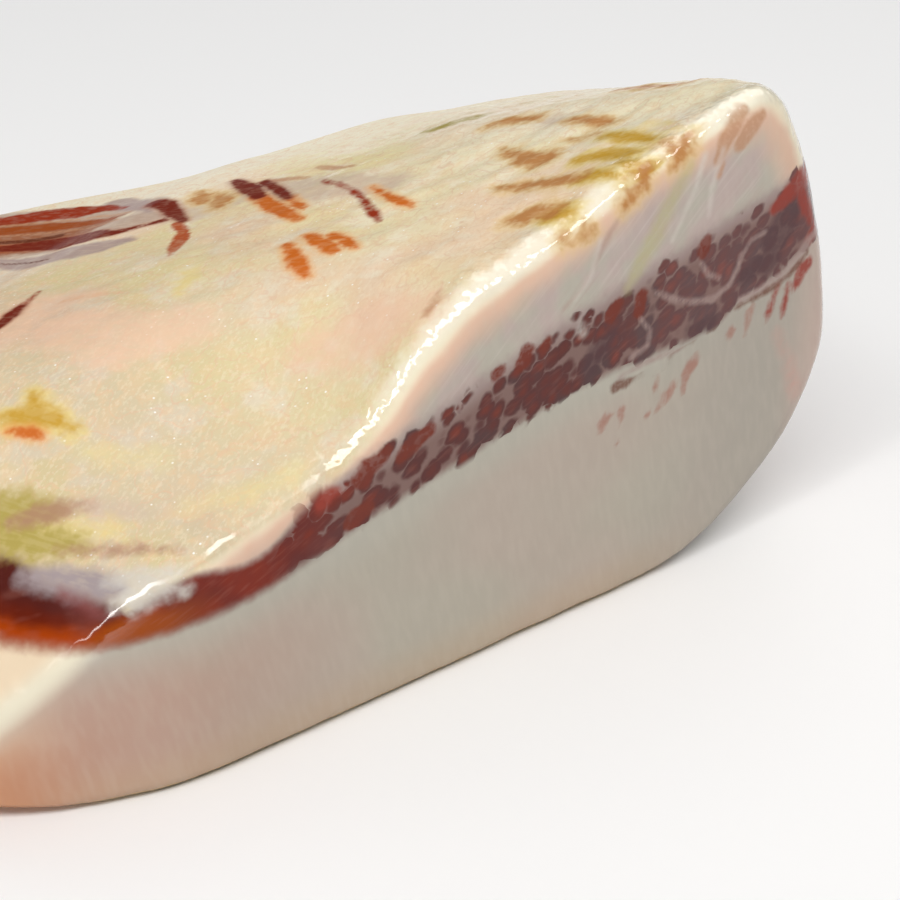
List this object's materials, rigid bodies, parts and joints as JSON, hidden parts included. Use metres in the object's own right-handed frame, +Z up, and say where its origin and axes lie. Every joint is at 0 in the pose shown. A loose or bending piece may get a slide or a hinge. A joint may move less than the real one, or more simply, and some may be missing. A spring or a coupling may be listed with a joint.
{
  "type": "pork jowl",
  "caption": "Slab of raw pork jowl lying on its skin side: pale fat with a layer of dark lean running through it, cut flat along the front.",
  "frame": {"origin": "middle of the slab's footprint, on the flat underside it rests on", "axes": "+X along the cut front face towards the thick end, +Y from the front face towards the back, +Z up"},
  "size_m": [0.1714, 0.1488, 0.0723],
  "materials": {
    "outer_fat": "pale moist fat, faintly pink, with brown-cream skin underneath",
    "lean": "dark red-brown moist muscle in rounded bundles with thin pale seams",
    "inner_fat": "wet cream fat with peach and yellow patches"
  },
  "bodies": {
    "root": {"outer_fat": "outer_fat", "lean_layer": "lean", "inner_fat": "inner_fat"}
  },
  "joints": []
}
